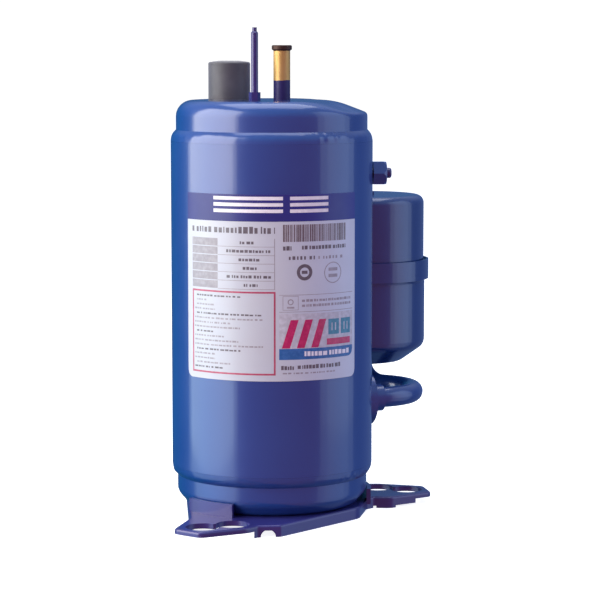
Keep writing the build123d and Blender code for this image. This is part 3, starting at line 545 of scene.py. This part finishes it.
LABEL_LOW = sheet_low.z
LABEL_TALL = sheet_high.z - sheet_low.z
FILM_IN = SHELL_R + 0.05
FILM_OUT = SHELL_R + 0.20
INK_THICK = 0.02
UNDERPRINT = FILM_OUT + INK_THICK / 2  # the face of a tone that other ink is printed over
LABEL_LEFT = -55.4
LABEL_RIGHT = 54.4
CORNER_R = 4.0
COLUMN_STEP = 1.5


def on_label(u, v, radius):
    """The point u mm round to the right of the middle and v mm above the label's foot."""
    turn = u / FILM_OUT - math.pi / 2
    return radius * math.cos(turn), radius * math.sin(turn), LABEL_LOW + v


def patch(u0, u1, low, high, inner=FILM_OUT, outer=FILM_OUT + INK_THICK, step=COLUMN_STEP):
    """A thin slab on the casing from u0 to u1. low and high are heights, or functions of u that give them."""
    count = max(1, math.ceil((u1 - u0) / step))
    sections = []
    for k in range(count + 1):
        u = u0 + (u1 - u0) * k / count
        bottom = low(u) if callable(low) else low
        top = high(u) if callable(high) else high
        edges = ((bottom, inner), (bottom, outer), (top, outer), (top, inner))
        sections.append([on_label(u, v, radius) for v, radius in edges])
    return swept(sections)


def outline(u0, u1, low, high, width):
    """Four strips round a rectangle."""
    return [
        patch(u0, u1, low, low + width),
        patch(u0, u1, high - width, high),
        patch(u0, u0 + width, low + width, high - width),
        patch(u1 - width, u1, low + width, high - width),
    ]


def ring(u, v, radius, width, steps=36):
    sections = []
    for k in range(steps):
        turn = math.tau * k / steps
        near = (u + (radius - width) * math.cos(turn), v + (radius - width) * math.sin(turn))
        far = (u + radius * math.cos(turn), v + radius * math.sin(turn))
        sections.append(
            [
                on_label(*near, FILM_OUT),
                on_label(*far, FILM_OUT),
                on_label(*far, FILM_OUT + INK_THICK),
                on_label(*near, FILM_OUT + INK_THICK),
            ]
        )
    return swept(sections, closed=True)


def dashes(u0, u1, v, tall, longest=2.2, gap=0.55):
    """A row of short marks that stands for a line of small print."""
    marks = []
    u = u0
    while u < u1 - 0.4:
        length = min(draw.uniform(0.6, longest), u1 - u)
        trim = draw.uniform(0, 0.2) * tall
        marks.append(patch(u, u + length, v, v + tall - trim))
        u += length + gap * draw.choice((1, 1, 1, 2.2))
    return marks


def rounded_foot(left, right, radius, foot=0.0):
    """The lower edge of a shape whose two bottom corners are round."""

    def low(u):
        into = max(radius - min(u - left, right - u), 0.0)
        return foot + radius - math.sqrt(max(radius**2 - into**2, 0.0))

    return low


def ink_piece(name, skins, finish):
    return make_piece(name, skins, finish, crease=60)


# ---------------------------------------------------------------- label sheet and print

sheet_foot = rounded_foot(LABEL_LEFT, LABEL_RIGHT, CORNER_R)
sheet = make_piece(
    "label_paper",
    [patch(LABEL_LEFT, LABEL_RIGHT, sheet_foot, LABEL_TALL, FILM_IN, FILM_OUT, 0.6)],
    "label_film",
)
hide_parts("label_sheet")
band = make_piece(
    "label_tinted_band",
    [patch(LABEL_LEFT, LABEL_RIGHT, band_low.z - LABEL_LOW, band_high.z - LABEL_LOW, FILM_IN, FILM_OUT, 0.6)],
    "label_tint",
)
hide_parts("label_band")

# Places on the label: mm right of its middle, and mm above its foot
TABLE_LEFT, TABLE_RIGHT = -51.0, 1.7
TABLE_LOW, TABLE_HIGH = 51.6, 80.2
HEADER_RIGHT = -32.0
HEADER_GAP = 0.25
HAIRLINE = 0.3
ROWS = 6
row_high = (TABLE_HIGH - TABLE_LOW) / ROWS
RED_LOW, RED_HIGH = 3.4, 50.5
RED_WIDE = 1.0
PANEL_LEFT, PANEL_RIGHT = 4.0, 52.1
PANEL_LOW, PANEL_HIGH = 12.1, 38.0

black = []
grey = []
pale = []

black += dashes(TABLE_LEFT, -20.0, 83.2, 3.4, 3.0, 0.9)
black += dashes(-19.0, TABLE_RIGHT, 83.0, 3.9, 3.6, 0.8)
for row in range(ROWS):
    foot = TABLE_LOW + row * row_high
    cell_low, cell_high = foot + HEADER_GAP, foot + row_high - HEADER_GAP
    pale.append(patch(TABLE_LEFT, HEADER_RIGHT, cell_low, cell_high, outer=UNDERPRINT))
    grey += dashes(TABLE_LEFT + 1.2, draw.uniform(-40, -34), foot + 1.9, 1.3)
    grey.append(patch(HEADER_RIGHT, TABLE_RIGHT, foot, foot + HAIRLINE))
    middle = draw.uniform(-16, -12)
    reach = draw.choice((4, 6, 6, 13))
    black += dashes(middle - reach, middle + reach, foot + 1.6, 1.7)
grey.append(patch(TABLE_RIGHT - 0.4, TABLE_RIGHT, TABLE_LOW, TABLE_HIGH))

RED_ROWS = 17
BOLD_EVERY = 4
row_gap = (RED_HIGH - RED_LOW - 4.0) / RED_ROWS
for row in range(RED_ROWS):
    foot = RED_HIGH - 3.6 - row * row_gap
    indent = draw.choice((2.0, 2.0, 3.6))
    stop = draw.choice((-40, -34, -28, -24, -18, -5))
    line = dashes(TABLE_LEFT + indent, stop, foot, 1.0, 2.6, 0.5)
    if row % BOLD_EVERY == 0:
        black += line
    else:
        grey += line

black.append(ring(18.6, 61.2, 4.6, 1.9))
black.append(patch(16.9, 20.3, 60.3, 62.1))
grey.append(ring(36.7, 60.4, 6.0, 0.5))
grey.append(patch(33.6, 39.8, 61.4, 63.2))
grey.append(patch(33.6, 39.8, 57.8, 59.6))
black += dashes(6.2, 11.0, 73.6, 2.8, 2.4, 0.4)
black += dashes(17.0, 46.0, 74.0, 2.2, 2.4, 0.5)
black += dashes(9.5, 25.0, 68.3, 2.2, 2.0, 1.0)
grey += dashes(27.0, 46.0, 68.4, 1.8, 2.0, 1.0)
for foot in (48.4, 38.9):
    grey.append(patch(PANEL_LEFT, PANEL_RIGHT, foot, foot + HAIRLINE))
grey += outline(6.0, 15.0, 40.0, 48.0, HAIRLINE)
grey += [ring(10.5, 44.6, 1.7, 0.6), patch(8.4, 12.6, 41.0, 42.0)]
for foot in (44.6, 41.8):
    grey += dashes(17.0, 50.5, foot, 1.5, 2.0, 0.35)
black += dashes(5.1, 13.0, 6.4, 2.4, 2.2, 0.4)
black += dashes(14.5, 42.0, 6.8, 2.4, 2.6, 0.4)
grey += dashes(6.0, 38.0, 4.0, 0.9, 2.6, 0.6)

bars = []
u = 6.2
while u < 45.6:
    width = draw.choice((0.3, 0.45, 0.7, 1.0))
    bars.append(patch(u, min(u + width, 46.0), 78.4, 88.0))
    u += width + draw.choice((0.22, 0.3, 0.45))

ink_piece("label_ink_black", black, "ink_black")
ink_piece("label_ink_grey", grey, "ink_grey")
ink_piece("label_ink_pale", pale, "ink_pale")
ink_piece("label_ink_barcode", bars, "ink_barcode")
ink_piece("label_ink_red", outline(TABLE_LEFT, 2.0, RED_LOW, RED_HIGH, RED_WIDE), "ink_red")


def leaning_bar(u0, width, lean, low, high):
    """A bar whose top stands lean mm to the right of its foot, or to the left where lean is negative."""
    slope = (high - low) / abs(lean)
    reach = width + abs(lean)
    end = 0.05

    def under(u):
        return low + max(0.0, u - u0 - width if lean > 0 else u0 + abs(lean) - u) * slope

    def over(u):
        return min(high, low + (u - u0 if lean > 0 else u0 + reach - u) * slope)

    return patch(u0 + end, u0 + reach - end, under, over, step=0.5)


PANEL_STRIP = 18.3
MARK_LOW, MARK_HIGH = 18.6, 34.5
panel_foot = rounded_foot(PANEL_LEFT - 20, PANEL_RIGHT, 4.0, PANEL_LOW)
silver = patch(PANEL_LEFT, PANEL_RIGHT, PANEL_STRIP, PANEL_HIGH, outer=UNDERPRINT)
blue = patch(PANEL_LEFT, PANEL_RIGHT, panel_foot, PANEL_STRIP, outer=UNDERPRINT, step=0.5)
ink_piece("label_panel_silver", [silver], "ink_silver")
ink_piece("label_panel_blue", [blue], "ink_blue")

crimson = [
    leaning_bar(PANEL_LEFT + 1.5, 4.6, 5.0, MARK_LOW, MARK_HIGH),
    leaning_bar(PANEL_LEFT + 10.0, 4.6, 5.0, MARK_LOW, MARK_HIGH),
    leaning_bar(PANEL_LEFT + 18.5, 4.6, 5.0, MARK_LOW, MARK_HIGH),
    patch(PANEL_LEFT + 28.5, PANEL_LEFT + 46.0, MARK_LOW + 1.0, MARK_LOW + 4.6),
]
teal = []
for left in (PANEL_LEFT + 29.5, PANEL_LEFT + 38.5):
    teal += outline(left, left + 7.6, 25.4, 34.2, 2.2)
    teal.append(patch(left + 2.9, left + 4.7, 27.6, 32.0))
ink_piece("label_mark_crimson", crimson, "ink_crimson")
ink_piece("label_mark_teal", teal, "ink_teal")
strip_print = dashes(PANEL_LEFT + 14.5, PANEL_RIGHT - 3.0, 13.9, 2.8, 3.0, 0.6)
ink_piece("label_strip_print", strip_print, "ink_white")

BAND_MARK_LOW, BAND_MARK_HIGH = 94.6, 103.6
stripes = []
STRIPES = 3
stripe_gap = (BAND_MARK_HIGH - BAND_MARK_LOW) / (STRIPES - 0.45)
for left, right in ((-34.6, 6.2), (10.2, 33.4)):
    for k in range(STRIPES):
        foot = BAND_MARK_LOW + k * stripe_gap
        stripes.append(patch(left, right, foot, foot + 0.55 * stripe_gap))
ink_piece("label_band_stripes", stripes, "ink_white")


# ---------------------------------------------------------------- stage, light and camera


def softbox(name, azimuth, distance, width, low, high, radiance, colour=(1, 1, 1)):
    """A tall softbox round the object. azimuth is in degrees to the right of the label's side."""
    turn = math.radians(azimuth)
    light = bpy.data.lights.new(name, "AREA")
    light.shape = "RECTANGLE"
    light.size = width
    light.size_y = high - low
    light.energy = radiance * math.pi * light.size * light.size_y
    light.color = colour
    lamp = bpy.data.objects.new(name, light)
    lamp.location = (distance * math.sin(turn), -distance * math.cos(turn), (low + high) / 2)
    lamp.rotation_euler = (math.radians(90), 0, turn)
    scene.collection.objects.link(lamp)
    return lamp


WARM = (1.0, 0.96, 0.88)
SKY = (0.72, 0.92, 1.0)
COOL = (0.66, 0.82, 1.0)
LEFT_AZIMUTH, LEFT_DISTANCE = -73.5, 1.15
RIGHT_AZIMUTH, RIGHT_DISTANCE = 80, 1.25
# Each side's box is a core and a wider, fainter halo, which softens its edges: name, width, share of
# the radiance
LEFT_LAYERS = (("core", 1.34, 0.7), ("halo", 1.58, 0.3))
RIGHT_LAYERS = (("core", 0.70, 0.6), ("halo", 1.15, 0.4))
# Each layer is made of parts one above the other: name, low, high, radiance, colour
LEFT_PARTS = (
    ("left_box_high_", 0.10, 1.60, 6.4, WARM),
    ("left_box_low_", -0.18, 0.10, 4.2, SKY),
    ("left_box_foot_", -0.90, -0.18, 1.5, SKY),
)
RIGHT_PARTS = (
    ("right_box_", -0.15, 1.30, 2.0, COOL),
    ("right_box_foot_", -0.90, -0.15, 1.0, COOL),
)
for azimuth, distance, layers, parts in (
    (LEFT_AZIMUTH, LEFT_DISTANCE, LEFT_LAYERS, LEFT_PARTS),
    (RIGHT_AZIMUTH, RIGHT_DISTANCE, RIGHT_LAYERS, RIGHT_PARTS),
):
    for layer, width, share in layers:
        for part, low, high, radiance, colour in parts:
            softbox(part + layer, azimuth, distance, width, low, high, radiance * share, colour)
OVERHEAD_PLACE = (0, 0.3, 1.7)
overhead = softbox("overhead_box", 180, 0.3, 1.4, 1.5, 2.9, 2.0)
overhead.location = OVERHEAD_PLACE
overhead.rotation_euler = (0, 0, 0)


ROOM_FRONT = (0.40, 0.16, 0.23)
ROOM_LEFT = (0.0, 0.09, 0.21)
ROOM_RIGHT = (0.10, 0.15, 0.34)
ROOM_ABOVE = (0.35, 0.42, 0.60)
PAPER_WHITE = 1.05


def studio_world():
    """A dim room, mauve in front and blue behind, that the camera sees as white paper."""
    world = bpy.data.worlds.new("studio")
    world.use_nodes = True
    scene.world = world
    tree = world.node_tree
    nodes = tree.nodes
    links = tree.links

    direction = nodes.new("ShaderNodeSeparateXYZ")
    links.new(nodes.new("ShaderNodeTexCoord").outputs["Generated"], direction.inputs[0])

    def share(axis, start, stop):
        return ease_node(tree, direction.outputs[axis], start, stop)

    sides = blend_node(tree, share("X", -0.6, 0.6), ROOM_LEFT, ROOM_RIGHT)
    around = blend_node(tree, share("Y", 0.1, -0.8), sides, ROOM_FRONT)
    colour = blend_node(tree, share("Z", 0.15, 0.7), around, ROOM_ABOVE)
    room = nodes["Background"]
    links.new(colour, room.inputs["Color"])
    paper = nodes.new("ShaderNodeBackground")
    paper.inputs["Color"].default_value = (1, 1, 1, 1)
    paper.inputs["Strength"].default_value = PAPER_WHITE
    path = nodes.new("ShaderNodeLightPath")
    choose = nodes.new("ShaderNodeMixShader")
    links.new(path.outputs["Is Camera Ray"], choose.inputs[0])
    links.new(room.outputs[0], choose.inputs[1])
    links.new(paper.outputs[0], choose.inputs[2])
    links.new(choose.outputs[0], nodes["World Output"].inputs["Surface"])


studio_world()

FLOOR_HALF = 8.0
FLOOR_GLOW = 0.85
floor_mesh = bpy.data.meshes.new("floor")
corners = [(x * FLOOR_HALF, y * FLOOR_HALF, 0) for x, y in ((-1, -1), (1, -1), (1, 1), (-1, 1))]
floor_mesh.from_pydata(corners, [], [(0, 1, 2, 3)])
floor = bpy.data.objects.new("floor", floor_mesh)
scene.collection.objects.link(floor)
floor.visible_glossy = False
floor.visible_diffuse = False
white_floor = Finish("floor_white", (0.8, 0.8, 0.8), 0.9)
white_floor.set("Emission Color", (1, 1, 1, 1))
white_floor.set("Emission Strength", FLOOR_GLOW)
floor_mesh.materials.append(white_floor.material)

CAMERA_PLACE = (0.0, -1.3248, 0.27198)
CAMERA_DOWN = 6.328
CAMERA_RIGHT = 0.708
camera_data = bpy.data.cameras.new("camera")
camera_data.lens = 136.97
camera_data.sensor_width = 36
camera = bpy.data.objects.new("camera", camera_data)
camera.location = CAMERA_PLACE
camera.rotation_euler = (math.radians(90 - CAMERA_DOWN), 0, math.radians(-CAMERA_RIGHT))
scene.collection.objects.link(camera)
scene.camera = camera

scene.view_settings.view_transform = "Standard"
